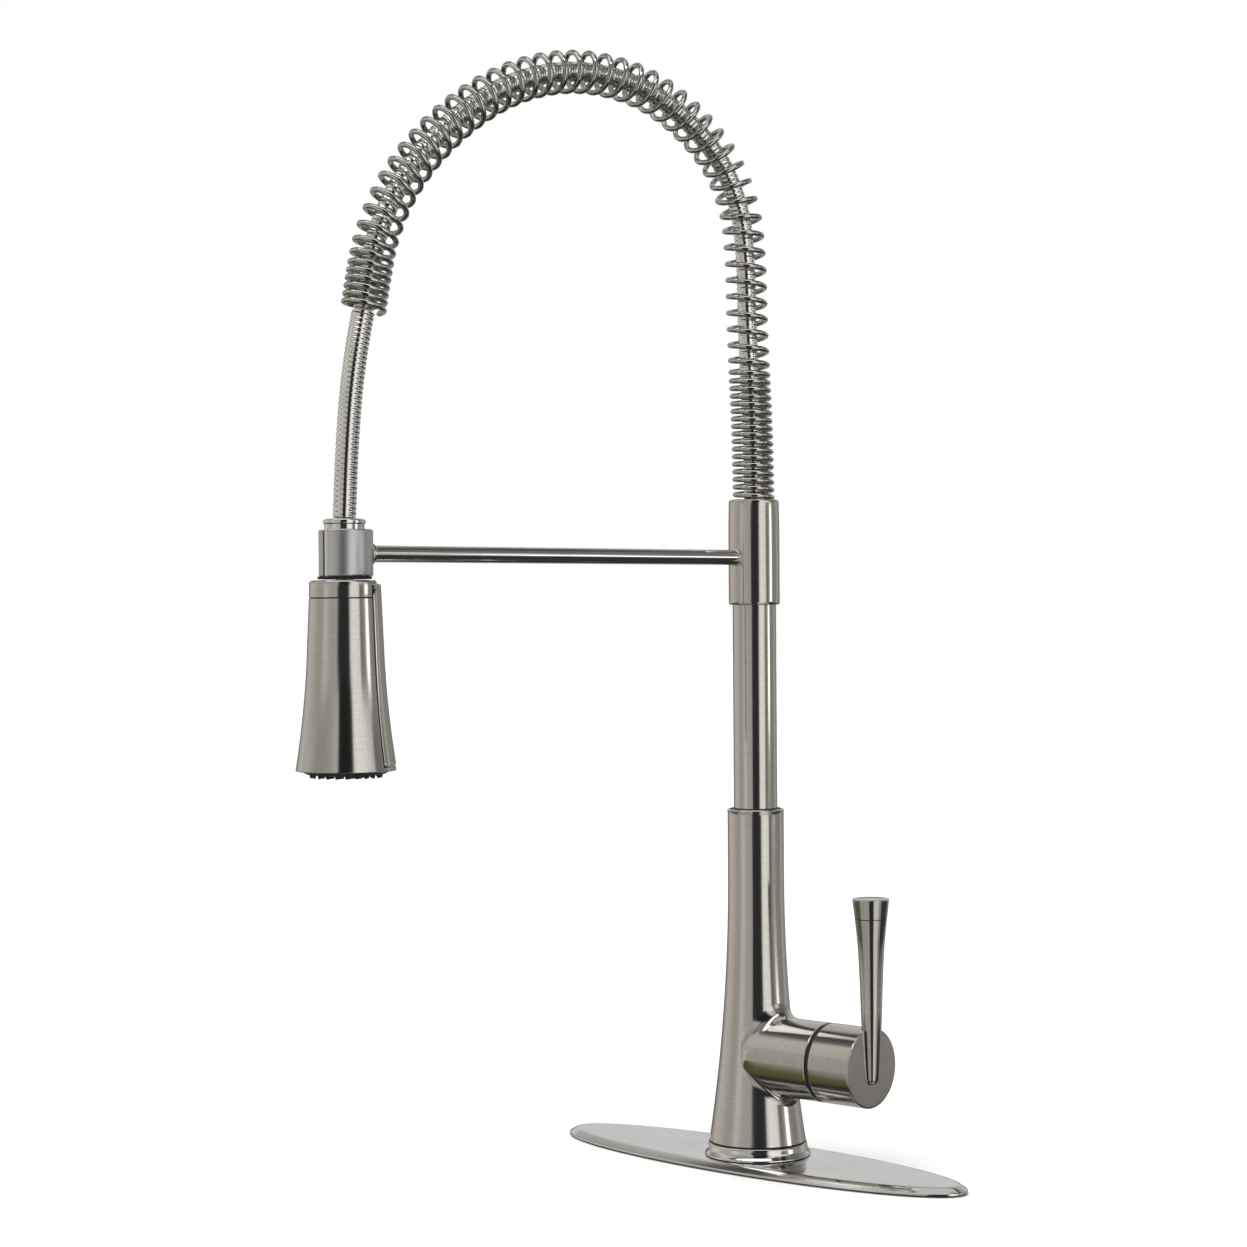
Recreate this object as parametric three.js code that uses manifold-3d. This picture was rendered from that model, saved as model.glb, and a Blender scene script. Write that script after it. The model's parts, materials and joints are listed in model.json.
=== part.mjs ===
// Pull down kitchen faucet with a coil spring arch, a docking bar and a side lever.
// Millimetres, +Z up. The origin is on the column's axis, at the face that meets the sink deck.
// The user stands on the -Y side, and the lever is on the +X side.
import * as THREE from "three";
import { mergeVertices } from "three/addons/utils/BufferGeometryUtils.js";
import Module from "manifold-3d";

const wasm = await Module();
wasm.setup();

// ---- driving dimensions ----
const gap = 0.3; // clearance between touching pieces
const plate = { halfLength: 130, halfWidth: 34.6, inset: 5, bottom: 1.1, top: 4.6, gasket: 0.8 };
const baseRing = { radius: 27.6, neck: 25.7, top: 11.3, bore: 18.5 };
const body = { bottom: 11.6, top: 184.1, waist: 14.6, flare: 10.75, flareTop: 150, flareHeight: 140, bore: 8 };
const barrel = { radius: 20.2, height: 56.7, end: 46.6, edge: 2.2, bore: 17, boreStart: 14 };
const pivot = 38; // the tilt axis crosses the barrel's axis at this X
const hub = { start: 48.9, end: 74.1, wall: 3, swing: 22.75 }; // its rim clears the barrel on a sphere of radius swing
const trimRing = { radius: 19, bore: 16.9, start: 46.9, end: 48.6 };
const lever = { x: 74.2, foot: 48.8, seam: 131.9, top: 142, slotGap: 0.4 };
const post = { radius: 11.3, wall: 1.2, bottom: 149, top: 304 };
const sleeve = { radius: 13.25, bottom: 290, top: 344.6, counterbore: 11.2, bore: 8.9 };
const bar = { radius: 3.95, height: 314.5 };
const reach = 250; // column axis to spray head axis
const spoutTurn = -10; // degrees from straight forwards
const dock = { radius: 13.2, bore: 10.6, liner: 9.7, bottom: 304.1, top: 325.7, mouth: 74, mouthTurn: -108 };
const coil = { radius: 10.95, inner: 8.3 };
const hose = { radius: 5, core: 4.2, ribs: 5.65 };
const neck = { radius: 9.3, bottom: 302.9, top: 330.6 };
const wand = { top: 302.1, seam: 293.9, rim: 213.8, wall: 2.2, face: 211.6 };
const paddle = { width: 62, thick: 3, side: 2.4, top: 300.4, bottom: 216.4 }; // width and side in degrees
const pin = { height: 259, radius: 1, hole: 1.1, halfLength: 4.6, depth: 5.6 }; // depth below the wand's surface
const wandTurn = 50; // degrees: where the paddle faces, in the spout's own frame
const shank = { radius: 16, bore: 14, bottom: -72 };
const clamp = { rubber: -34, washer: -36.5, nut: -46, radius: 25 };

const degrees = Math.PI / 180;

// ---- solid helpers ----
function solidOf(geometry) {
  const bare = (geometry.index ? geometry.toNonIndexed() : geometry.clone());
  for (const name of Object.keys(bare.attributes)) if (name !== "position") bare.deleteAttribute(name);
  const merged = mergeVertices(bare, 1e-4);
  return new wasm.Manifold(new wasm.Mesh({
    numProp: 3,
    vertProperties: new Float32Array(merged.attributes.position.array),
    triVerts: new Uint32Array(merged.index.array),
  }));
}

function geometryOf(solid) {
  const mesh = solid.getMesh();
  const geometry = new THREE.BufferGeometry();
  geometry.setAttribute("position", new THREE.BufferAttribute(new Float32Array(mesh.vertProperties), 3));
  geometry.setIndex(new THREE.BufferAttribute(new Uint32Array(mesh.triVerts), 1));
  geometry.computeVertexNormals();
  return geometry;
}

const cut = (geometry, ...tools) => geometryOf(tools.reduce((s, t) => s.subtract(solidOf(t)), solidOf(geometry)));
const join = (geometry, ...more) => geometryOf(more.reduce((s, t) => s.add(solidOf(t)), solidOf(geometry)));

// A turned piece about Z. The profile is [radius, height] pairs, up the outside first; it is closed here.
function turned(profile, segments = 32) {
  const points = profile.map(([r, z]) => new THREE.Vector2(r, z));
  const onAxis = profile[0][0] === 0 && profile[profile.length - 1][0] === 0;
  if (!onAxis) points.push(points[0].clone());
  return new THREE.LatheGeometry(points, segments).rotateX(Math.PI / 2);
}

const rod = (radius, low, high, segments = 24) => turned([[0, low], [radius, low], [radius, high], [0, high]], segments);
const tube = (radius, bore, low, high, segments = 28) =>
  turned([[bore, low], [radius, low], [radius, high], [bore, high]], segments);
const alongX = (geometry) => geometry.rotateY(Math.PI / 2); // Z becomes X
const alongY = (geometry) => geometry.rotateX(-Math.PI / 2); // Z becomes Y
const box = (x, y, z) => new THREE.BoxGeometry(x, y, z);
const torus = (radius, wire, height, segments = 24) =>
  turned(Array.from({ length: 6 }, (_, i) => {
    const a = (i / 6) * 2 * Math.PI;
    return [radius + wire * Math.cos(a), height + wire * Math.sin(a)];
  }), segments);

function sampled(low, high, steps, radiusAt) {
  return Array.from({ length: steps + 1 }, (_, i) => {
    const z = low + ((high - low) * i) / steps;
    return [radiusAt(z), z];
  });
}

// A pie slice about Z, wide enough to cut a mouth or a slot, centred on the +X direction.
function wedge(radius, degreesWide, low, high) {
  const half = (degreesWide / 2) * degrees;
  const shape = new THREE.Shape();
  shape.moveTo(0, 0);
  shape.lineTo(radius * Math.cos(-half), radius * Math.sin(-half));
  shape.absarc(0, 0, radius, -half, half, false);
  shape.lineTo(0, 0);
  return new THREE.ExtrudeGeometry(shape, { depth: high - low, bevelEnabled: false, curveSegments: 5 })
    .translate(0, 0, low);
}

// ---- materials ----
const steel = new THREE.MeshStandardMaterial({ color: 0x9a968f, roughness: 0.28, metalness: 1 });
const chrome = new THREE.MeshStandardMaterial({ color: 0xc8c8ca, roughness: 0.08, metalness: 1 });
const springSteel = new THREE.MeshStandardMaterial({ color: 0x8d8d90, roughness: 0.16, metalness: 1 });
const rubber = new THREE.MeshStandardMaterial({ color: 0x151516, roughness: 0.7, metalness: 0 });
const darkPlastic = new THREE.MeshStandardMaterial({ color: 0x2b2b2d, roughness: 0.45, metalness: 0 });
const brass = new THREE.MeshStandardMaterial({ color: 0xa88a4a, roughness: 0.35, metalness: 1 });

function piece(group, name, geometry, material) {
  const mesh = new THREE.Mesh(geometry, material);
  mesh.name = name;
  group.add(mesh);
  return mesh;
}

// ---- deck plate and mounting hardware ----
function ellipse(halfLength, halfWidth, depth, hole) {
  const shape = new THREE.Shape();
  shape.absellipse(0, 0, halfLength, halfWidth, 0, 2 * Math.PI, false, 0);
  const opening = new THREE.Path();
  opening.absarc(0, 0, hole, 0, 2 * Math.PI, true);
  shape.holes.push(opening);
  return new THREE.ExtrudeGeometry(shape, { depth, bevelEnabled: false, curveSegments: 24 });
}

function deckPlate() {
  // An elliptical slab whose upper edge is chamfered in by the inset.
  const rim = ellipse(plate.halfLength, plate.halfWidth, plate.top - plate.bottom, baseRing.bore);
  const position = rim.attributes.position;
  const shrinkX = (plate.halfLength - plate.inset) / plate.halfLength;
  const shrinkY = (plate.halfWidth - plate.inset) / plate.halfWidth;
  for (let i = 0; i < position.count; i++) {
    const x = position.getX(i);
    const y = position.getY(i);
    if (position.getZ(i) > 1 && Math.hypot(x, y) > baseRing.bore + 1) position.setXY(i, x * shrinkX, y * shrinkY);
  }
  return rim.translate(0, 0, plate.bottom);
}

function addMounting(group) {
  piece(group, "deck_gasket", ellipse(plate.halfLength - 4, plate.halfWidth - 4, plate.gasket, baseRing.bore), rubber);
  piece(group, "deck_plate", deckPlate(), chrome);
  const ringLow = plate.top + gap;
  piece(group, "base_ring", turned([
    [baseRing.bore, ringLow], [baseRing.radius, ringLow], [baseRing.radius - 0.7, ringLow + 1.6],
    [baseRing.neck, baseRing.top], [baseRing.bore, baseRing.top],
  ], 40), chrome);
  piece(group, "mounting_shank", tube(shank.radius, shank.bore, shank.bottom, 32), brass);
  piece(group, "clamp_rubber_washer", tube(clamp.radius, shank.radius + gap, clamp.rubber, -31.5), rubber);
  piece(group, "clamp_steel_washer", tube(clamp.radius, shank.radius + gap, clamp.washer, clamp.rubber - gap), steel);
  const nut = cut(
    rod(23, clamp.nut, clamp.washer - gap, 6),
    rod(shank.radius + gap, clamp.nut - 1, 0, 28),
    rod(2.3, clamp.nut - 1, 0, 12).translate(0, 19.4, 0),
    rod(2.3, clamp.nut - 1, 0, 12).translate(0, -19.4, 0),
  );
  piece(group, "mounting_nut", nut, brass);
  for (const [name, y] of [["nut_screw_front", -19.4], ["nut_screw_back", 19.4]]) {
    const screw = join(rod(2, clamp.nut - 2, clamp.washer - gap, 12), rod(3.4, clamp.nut - 5, clamp.nut - gap, 12));
    piece(group, name, screw, steel).position.y = y;
  }
  for (const [name, x] of [["hot_inlet", -7.8], ["cold_inlet", 7.8]]) {
    const stub = turned([[2.4, -84], [4, -84], [4, -76], [3.5, -75], [3.5, 22], [2.4, 22]], 16);
    piece(group, name, stub, brass).position.set(x, 6.6, 0);
  }
}

// ---- body with its valve barrel ----
const bodyRadius = (z) =>
  body.waist + body.flare * Math.pow(Math.max(0, body.flareTop - z) / body.flareHeight, 2);

function bodyShell() {
  const outside = turned([
    [0, body.bottom], ...sampled(body.bottom, body.top - 1, 9, bodyRadius), [body.waist - 0.7, body.top], [0, body.top],
  ], 36);
  const housing = alongX(turned([
    [0, 0], [barrel.radius, 0], [barrel.radius, barrel.end - barrel.edge], [barrel.radius - barrel.edge, barrel.end], [0, barrel.end],
  ], 36)).translate(0, 0, barrel.height);
  return cut(
    join(outside, housing),
    rod(body.bore, 0, 200),
    rod(12.9, post.bottom - 4, 200, 28),
    rod(shank.radius + gap, 0, 32 + gap),
    alongX(rod(barrel.bore, barrel.boreStart, 60, 28)).translate(0, 0, barrel.height),
  );
}

function addBody(group) {
  piece(group, "body_shell", bodyShell(), steel);
  piece(group, "swivel_bush", turned([
    [post.radius + 0.15, post.bottom - 3], [12.6, post.bottom - 3], [12.6, body.top - 1], [post.radius + 0.15, body.top - 1],
  ], 32), darkPlastic);
  const socket = new THREE.SphereGeometry(6.4, 16, 10).translate(0, 0, pivot);
  const mouth = turned([[0, pivot], [14, pivot + 16], [0, pivot + 16]], 24);
  const cartridge = cut(rod(16.6, barrel.boreStart + gap, 41, 28), socket, mouth, rod(4.5, 23.5, pivot, 20));
  piece(group, "valve_cartridge", alongX(cartridge).translate(0, 0, barrel.height), darkPlastic);
  const nut = alongX(tube(16.6, 15.2, 41.3, barrel.end, 28)).translate(0, 0, barrel.height);
  piece(group, "bonnet_nut", nut, brass);
  const ring = alongX(tube(trimRing.radius, trimRing.bore, trimRing.start, trimRing.end, 36));
  piece(group, "trim_ring", ring.translate(0, 0, barrel.height), rubber);
}

// ---- handle: a spindle turns for temperature, and the hub and lever tip on it for flow ----
function addHandle(group) {
  const spindle = rod(4.2, 24, pivot - 6, 18);
  piece(group, "valve_spindle", alongX(spindle).translate(0, 0, barrel.height), brass);

  const ball = new THREE.SphereGeometry(5.6, 16, 10).translate(0, 0, pivot);
  const stem = join(ball, rod(3.2, pivot + 2, 66, 18));
  piece(group, "valve_stem", alongX(stem).translate(0, 0, barrel.height), brass);

  const outer = turned([
    [0, hub.start], [barrel.radius - 0.3, hub.start], [barrel.radius, hub.start + 0.3],
    [barrel.radius, hub.end - 0.4], [barrel.radius - 0.4, hub.end], [0, hub.end],
  ], 36);
  const cavity = rod(barrel.radius - hub.wall, hub.start - 1, hub.end - 14, 24);
  const swing = new THREE.SphereGeometry(hub.swing, 28, 18).translate(0, 0, pivot);
  const slot = leverSolid(lever.slotGap).translate(lever.x, 0, 0);
  const screwHole = rod(2.3, -30, 0, 14).translate(63, 0, barrel.height);
  const notch = rod(4.2, -30, 0, 14).translate(hub.start - 0.6, 0, barrel.height - 10);
  const shell = alongX(cut(outer, cavity, swing, rod(3.5, 40, 66.3, 18))).translate(0, 0, barrel.height);
  piece(group, "handle_hub", cut(shell, slot, screwHole, notch), steel);
  piece(group, "hub_set_screw", rod(2, barrel.height - 18.6, barrel.height - 3.9, 12).translate(63, 0, 0), steel);
  piece(group, "handle_lever", leverSolid(0, lever.seam - 0.15).translate(lever.x, 0, 0), steel);
  const cap = turned([
    [0, lever.seam + 0.15], [leverRadius(lever.seam), lever.seam + 0.15], [leverRadius(136), 136],
    [leverRadius(lever.top) - 0.2, lever.top - 0.5], [leverRadius(lever.top) - 0.8, lever.top], [0, lever.top + 0.3],
  ], 28);
  piece(group, "lever_cap", cap.translate(lever.x, 0, 0), steel);
}

// The lever is a slim trumpet, narrow at its foot.
function leverRadius(z) {
  const outline = new THREE.SplineCurve([[48.8, 3.1], [81, 5.2], [101, 5.85], [121, 6.95], [142, 9.2]]
    .map(([x, y]) => new THREE.Vector2(x, y)));
  const samples = outline.getPoints(80);
  const next = samples.findIndex((p) => p.x >= z);
  if (next < 1) return samples[Math.max(next, 0)].y;
  const [a, b] = [samples[next - 1], samples[next]];
  return a.y + ((b.y - a.y) * (z - a.x)) / (b.x - a.x);
}

function leverSolid(grow, high = lever.top) {
  const low = lever.foot - grow;
  return turned([
    [0, low], [2.3 + grow, low], ...sampled(lever.foot + 1, high, 8, leverRadius).map(([r, z]) => [r + grow, z]),
    [0, high],
  ], 24);
}

// ---- spout: post, sleeve, bar and dock, all in the spout's own frame, pointing to -Y ----
function sweep(radius, curve, sides, steps, bore = 0) {
  const shape = new THREE.Shape();
  shape.absarc(0, 0, radius, 0, 2 * Math.PI, false);
  if (bore) {
    const hole = new THREE.Path();
    hole.absarc(0, 0, bore, 0, 2 * Math.PI, true);
    shape.holes.push(hole);
  }
  return new THREE.ExtrudeGeometry(shape, { steps, extrudePath: curve, curveSegments: sides / 2, bevelEnabled: false });
}

// The arch that the spring and the hose follow: forward distance from the column, and height.
const archPoints = [
  [0, 345.1], [0.8, 380], [2.4, 410], [3.8, 440], [4.8, 470], [8.5, 494], [20, 516.5], [41, 535.5], [68, 549], [99, 554],
  [127, 551.5], [154, 542.7], [180, 527.5], [204, 506.5], [221, 484.5], [231.5, 462], [236.5, 441], [238.8, 428.5],
];
const dropPoints = [[239.1, 427], [242.8, 409.2], [246, 388], [248.4, 361], [reach, 331]];
const curveOf = (points) => new THREE.CatmullRomCurve3(points.map(([t, z]) => new THREE.Vector3(0, -t, z)), false, "centripetal");

function addSpout(group) {
  piece(group, "spout_post", tube(post.radius, post.radius - post.wall, post.bottom, post.top, 32), steel);
  const sleeveShell = cut(
    turned([
      [sleeve.bore, sleeve.bottom + 16], [post.radius + gap, sleeve.bottom + 15], [post.radius + gap, sleeve.bottom],
      [sleeve.radius, sleeve.bottom], [sleeve.radius, sleeve.top - 6], [sleeve.radius - 0.8, sleeve.top],
      [sleeve.counterbore, sleeve.top], [sleeve.counterbore, sleeve.top - 14], [sleeve.bore, sleeve.top - 14],
    ], 32),
    alongY(rod(bar.radius + 0.1, -20, 0, 18)).translate(0, 0, bar.height),
    alongX(rod(1.7, 0, 20, 12)).translate(0, 0, sleeve.bottom + 5),
  );
  piece(group, "support_sleeve", sleeveShell, steel);
  piece(group, "sleeve_set_screw", alongX(rod(1.5, post.radius + 0.1, sleeve.radius - 0.3, 12))
    .translate(0, 0, sleeve.bottom + 5), darkPlastic);
  const barEnd = reach - dock.radius + 1.2; // the bar ends inside the clip's wall
  piece(group, "support_bar", alongY(rod(bar.radius, -barEnd, -9.2, 20)).translate(0, 0, bar.height), steel);

  const mouth = wedge(30, dock.mouth, dock.bottom - 1, dock.top + 1).rotateZ(dock.mouthTurn * degrees);
  const clip = cut(tube(dock.radius, dock.bore, dock.bottom, dock.top, 36), mouth,
    alongY(rod(bar.radius + 0.15, dock.radius - 1.5, dock.radius + 1, 18)).translate(0, 0, bar.height));
  piece(group, "dock_clip", clip, steel).position.y = -reach;
  const liner = cut(tube(dock.bore - 0.1, dock.liner, dock.bottom + 0.5, dock.top - 0.5, 36), mouth);
  piece(group, "dock_liner", liner, darkPlastic).position.y = -reach;

  const arch = curveOf(archPoints);
  piece(group, "coil_spring", sweep(coil.radius, arch, 12, 36, coil.inner), springSteel);
  piece(group, "spring_ferrule", turned([
    [6, sleeve.top - 13], [10.9, sleeve.top - 13], [10.9, sleeve.top - 10], [7.6, sleeve.top - 9.7],
    [7.6, sleeve.top + 6], [6, sleeve.top + 6],
  ], 24), brass);
  piece(group, "hose_arch", sweep(hose.radius, arch, 8, 36), springSteel);
  piece(group, "hose_riser", rod(hose.radius, -68, sleeve.top + 0.2, 18), darkPlastic);
}

// ---- the hose's end, which comes down with the spray head ----
function addHoseEnd(group) {
  const drop = curveOf(dropPoints);
  piece(group, "hose_drop", sweep(hose.core, drop, 8, 12), darkPlastic);
  piece(group, "hose_ribs", sweep(hose.ribs, drop, 10, 12, hose.core + gap), springSteel);
  const collar = turned([
    [4.4, neck.bottom], [neck.radius, neck.bottom], [neck.radius, neck.top - 0.6], [neck.radius - 0.6, neck.top],
    [6.2, neck.top], [6.2, neck.top - 1.5], [4.4, neck.top - 1.5],
  ], 32);
  piece(group, "neck_collar", collar, chrome).position.y = -reach;
  piece(group, "swivel_nipple", tube(4.1, 2.6, 288, neck.top - 4, 20), brass).position.y = -reach;
}

// ---- spray head, about its own axis; the paddle faces +X here ----
const wandRadius = (z) => 16.6 + 0.0445 * (wand.seam - z) + 0.0011 * Math.pow(Math.max(0, 268 - z), 2);

const pinX = () => wandRadius(pin.height) - pin.depth;
const pinHole = () => alongY(rod(pin.hole, -5, 5, 12)).translate(pinX(), 0, pin.height);

function addSprayHead(group) {
  const slot = (extra) => wedge(40, paddle.width + extra, paddle.bottom - 0.8, wand.top + 5);
  const keepCore = rod(9, 200, 315, 20);
  const shell = turned([
    [wandRadius(wand.rim) - wand.wall, wand.rim], [wandRadius(wand.rim) - 0.6, wand.rim],
    ...sampled(wand.rim + 1, wand.seam - 0.3, 8, wandRadius),
    ...sampled(wand.rim + 3, wand.seam - 0.3, 4, (z) => wandRadius(z) - wand.wall).reverse(),
  ], 36);
  const openSlot = geometryOf(solidOf(slot(paddle.side * 2)).subtract(solidOf(keepCore)));
  piece(group, "wand_shell", cut(shell, openSlot), steel);
  const cap = turned([
    [4.6, wand.seam], [16.6, wand.seam], [16.3, wand.top - 0.8], [15.7, wand.top], [12.2, wand.top], [11.4, wand.top + 0.4],
    [4.6, wand.top + 0.4],
  ], 40);
  piece(group, "wand_cap", cut(cap, openSlot), steel);
  const core = turned([
    [3, 218.5], [14.2, 218.5], [14.2, 223], [9.6, 230], [8.6, 244], [8.4, 286], [4.6, 286], [4.6, 266], [3, 266],
  ], 28);
  const ears = [-3.6, 3.6].map((y) => box(6.3, 1.6, 5).translate(10.75, y, pin.height)); // they hold the paddle's pin
  piece(group, "waterway_core", cut(join(core, ...ears), pinHole()), darkPlastic);
  piece(group, "check_valve", tube(4.2, 2, 267, 280, 16), brass);
  piece(group, "core_o_ring", torus(9.3, 0.6, 284, 20), rubber);
  piece(group, "spray_plate", tube(20.2, 6.4, wand.face + 1.4, wand.rim + 1.6, 36), darkPlastic);
  const rivet = alongY(rod(pin.radius, -pin.halfLength, pin.halfLength, 12));
  piece(group, "paddle_pin", rivet.translate(pinX(), 0, pin.height), brass);
  piece(group, "spray_nozzles", nozzles(), rubber);
  piece(group, "aerator", turned([[0, wand.face - 0.4], [5.2, wand.face - 0.4], [6, wand.face + 0.4], [6, wand.rim + 1.6], [0, wand.rim + 1.6]], 24), darkPlastic);
  piece(group, "diffuser_seal", torus(15, 0.6, 221, 20), rubber);
}

// One rubber mat with a ring of short nozzles under it.
function nozzles() {
  const mat = tube(20, 6.5, wand.face + 0.2, wand.face + 1.2, 28);
  const nubs = [];
  for (const [radius, count] of [[10.5, 6], [15, 10]]) {
    for (let i = 0; i < count; i++) {
      const a = ((i + 0.5) / count) * 2 * Math.PI;
      nubs.push(turned([[0, wand.face - 1.1], [0.7, wand.face - 1.1], [1.1, wand.face + 0.6], [0, wand.face + 0.6]], 5)
        .translate(radius * Math.cos(a), radius * Math.sin(a), 0));
    }
  }
  return join(mat, ...nubs);
}

function addPaddle(group) {
  const strip = turned([
    ...sampled(paddle.bottom, paddle.top, 8, wandRadius),
    ...sampled(paddle.bottom, paddle.top, 4, (z) => wandRadius(z) - paddle.thick).reverse(),
  ], 60);
  const slice = wedge(40, paddle.width, paddle.bottom - 5, paddle.top + 5);
  const ear = box(5, 4, 5).translate(pinX() + 0.9, 0, pin.height);
  const blade = geometryOf(solidOf(strip).intersect(solidOf(slice)).add(solidOf(ear)));
  piece(group, "spray_paddle", cut(blade, pinHole()), steel);
}

const faucet = new THREE.Group();
addMounting(faucet);
addBody(faucet);
addHandle(faucet);

const spout = new THREE.Group();
spout.rotation.z = spoutTurn * degrees;
addSpout(spout);
addHoseEnd(spout);
const head = new THREE.Group();
head.position.y = -reach;
head.rotation.z = wandTurn * degrees;
addSprayHead(head);
addPaddle(head);
spout.add(head);
faucet.add(spout);

export default faucet;
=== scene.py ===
import json
import math

import bmesh
import bpy
from mathutils import Matrix, Vector


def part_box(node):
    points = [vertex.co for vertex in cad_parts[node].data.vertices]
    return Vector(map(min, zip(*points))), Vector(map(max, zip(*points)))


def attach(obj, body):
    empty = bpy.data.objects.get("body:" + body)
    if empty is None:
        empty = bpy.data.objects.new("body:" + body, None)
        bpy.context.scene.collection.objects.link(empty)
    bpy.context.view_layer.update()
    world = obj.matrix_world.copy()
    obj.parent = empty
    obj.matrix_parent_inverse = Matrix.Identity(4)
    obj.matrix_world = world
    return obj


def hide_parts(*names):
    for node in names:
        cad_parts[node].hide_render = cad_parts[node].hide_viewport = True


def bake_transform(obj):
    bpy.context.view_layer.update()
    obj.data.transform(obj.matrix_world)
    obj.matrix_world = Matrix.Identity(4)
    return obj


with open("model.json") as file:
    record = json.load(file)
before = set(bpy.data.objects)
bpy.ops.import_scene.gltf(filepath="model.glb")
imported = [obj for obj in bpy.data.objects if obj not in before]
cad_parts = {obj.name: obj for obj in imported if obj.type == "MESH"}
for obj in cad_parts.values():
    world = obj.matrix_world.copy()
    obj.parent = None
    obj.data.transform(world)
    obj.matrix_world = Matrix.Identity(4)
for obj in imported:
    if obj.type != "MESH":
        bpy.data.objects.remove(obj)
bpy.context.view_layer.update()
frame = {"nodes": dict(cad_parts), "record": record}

mm = 0.001
turn = math.tau
print("faucet: frame loaded")


class Wire:
    # wraps an output socket, so that sums on it become Math nodes
    def __init__(self, sheet, socket):
        self.sheet = sheet
        self.socket = socket

    def sum(self, operation, first, second):
        made = self.sheet.add("ShaderNodeMath", {"operation": operation}, {0: first, 1: second})
        return made.out(0)

    def __add__(self, other):
        return self.sum("ADD", self, other)

    def __radd__(self, other):
        return self.sum("ADD", other, self)

    def __sub__(self, other):
        return self.sum("SUBTRACT", self, other)

    def __rsub__(self, other):
        return self.sum("SUBTRACT", other, self)

    def __mul__(self, other):
        return self.sum("MULTIPLY", self, other)

    def __rmul__(self, other):
        return self.sum("MULTIPLY", other, self)

    def __truediv__(self, other):
        return self.sum("DIVIDE", self, other)

    def __rtruediv__(self, other):
        return self.sum("DIVIDE", other, self)


class Placed:
    # a node, and its outputs as wires
    def __init__(self, sheet, node):
        self.sheet = sheet
        self.node = node

    def out(self, key):
        return Wire(self.sheet, self.node.outputs[key])


class Sheet:
    # one node tree
    def __init__(self, tree):
        self.tree = tree
        tree.nodes.clear()

    def add(self, kind, settings=None, sockets=None):
        node = self.tree.nodes.new(kind)
        for key, value in (settings or {}).items():
            if key == "stops":
                self.fillRamp(node.color_ramp, value)
            else:
                setattr(node, key, value)
        for key, value in (sockets or {}).items():
            if isinstance(value, Wire):
                self.tree.links.new(value.socket, node.inputs[key])
            else:
                node.inputs[key].default_value = value
        return Placed(self, node)

    def fillRamp(self, ramp, stops):
        while len(ramp.elements) > 1:
            ramp.elements.remove(ramp.elements[-1])
        for index, (place, colour) in enumerate(stops):
            stop = ramp.elements[0] if index == 0 else ramp.elements.new(place)
            stop.position = place
            stop.color = (*colour, 1) if isinstance(colour, tuple) else (colour, colour, colour, 1)

    def mixColours(self, factor, first, second):
        made = self.add("ShaderNodeMix", {"data_type": "RGBA"}, {0: factor, 6: first, 7: second})
        return made.out(2)

    def smooth(self, value, low, high):
        made = self.add("ShaderNodeMapRange", {"interpolation_type": "SMOOTHSTEP"},
                        {0: value, 1: low, 2: high, 3: 0.0, 4: 1.0})
        return made.out(0)


def rgba(colour):
    return (*colour, 1.0)


def newFinish(name, metallic=0.0):
    finish = bpy.data.materials.new(name)
    finish.use_nodes = True
    sheet = Sheet(finish.node_tree)
    shader = sheet.add("ShaderNodeBsdfPrincipled", None, {"Metallic": metallic})
    sheet.add("ShaderNodeOutputMaterial", None, {0: shader.out(0)})
    return finish, sheet, shader.node.inputs


def stretched(sheet, scale):
    # object coordinates pulled out along the grain
    place = sheet.add("ShaderNodeTexCoord").out("Object")
    return sheet.add("ShaderNodeMapping", None, {0: place, 3: scale}).out(0)


def noise(sheet, scale, detail, roughness):
    vector = stretched(sheet, scale)
    made = sheet.add("ShaderNodeTexNoise", None,
                     {"Vector": vector, "Scale": 1.0, "Detail": detail, "Roughness": roughness})
    return made.out(0)


def feed(sheet, inputs, colour, roughness, bump=None, strength=0.0, depth=0.0):
    sheet.tree.links.new(colour.socket, inputs["Base Color"])
    sheet.tree.links.new(roughness.socket, inputs["Roughness"])
    if bump is not None:
        made = sheet.add("ShaderNodeBump", None, {"Strength": strength, "Distance": depth, "Height": bump})
        sheet.tree.links.new(made.out(0).socket, inputs["Normal"])


brushed = {"light": (0.66, 0.64, 0.605), "dark": (0.58, 0.56, 0.525), "rough": 0.10, "spread": 0.06,
           "across": 3400.0, "along": 60.0}


def brushedSteel(name, grain):
    # fine scratches run round the axis, and faint cloudy handling marks lie over them
    finish, sheet, inputs = newFinish(name, 1.0)
    scale = [brushed["along"]] * 3
    scale["xyz".index(grain)] = brushed["across"]
    scratch = noise(sheet, scale, 4.0, 0.7)
    speckle = noise(sheet, (900.0, 900.0, 900.0), 2.0, 0.6)
    cloud = noise(sheet, (30.0, 30.0, 14.0), 3.0, 0.5)
    mixed = sheet.smooth(scratch * 0.5 + speckle * 0.3 + cloud * 0.2, 0.36, 0.64)
    rough = brushed["rough"] + brushed["spread"] * (scratch * 0.55 + cloud * 0.45)
    feed(sheet, inputs, sheet.mixColours(mixed, rgba(brushed["dark"]), rgba(brushed["light"])),
         rough, scratch + speckle, 0.03, 0.00002)
    return finish


polished = {"fresh": (0.80, 0.79, 0.77), "worn": (0.74, 0.73, 0.71)}


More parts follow.
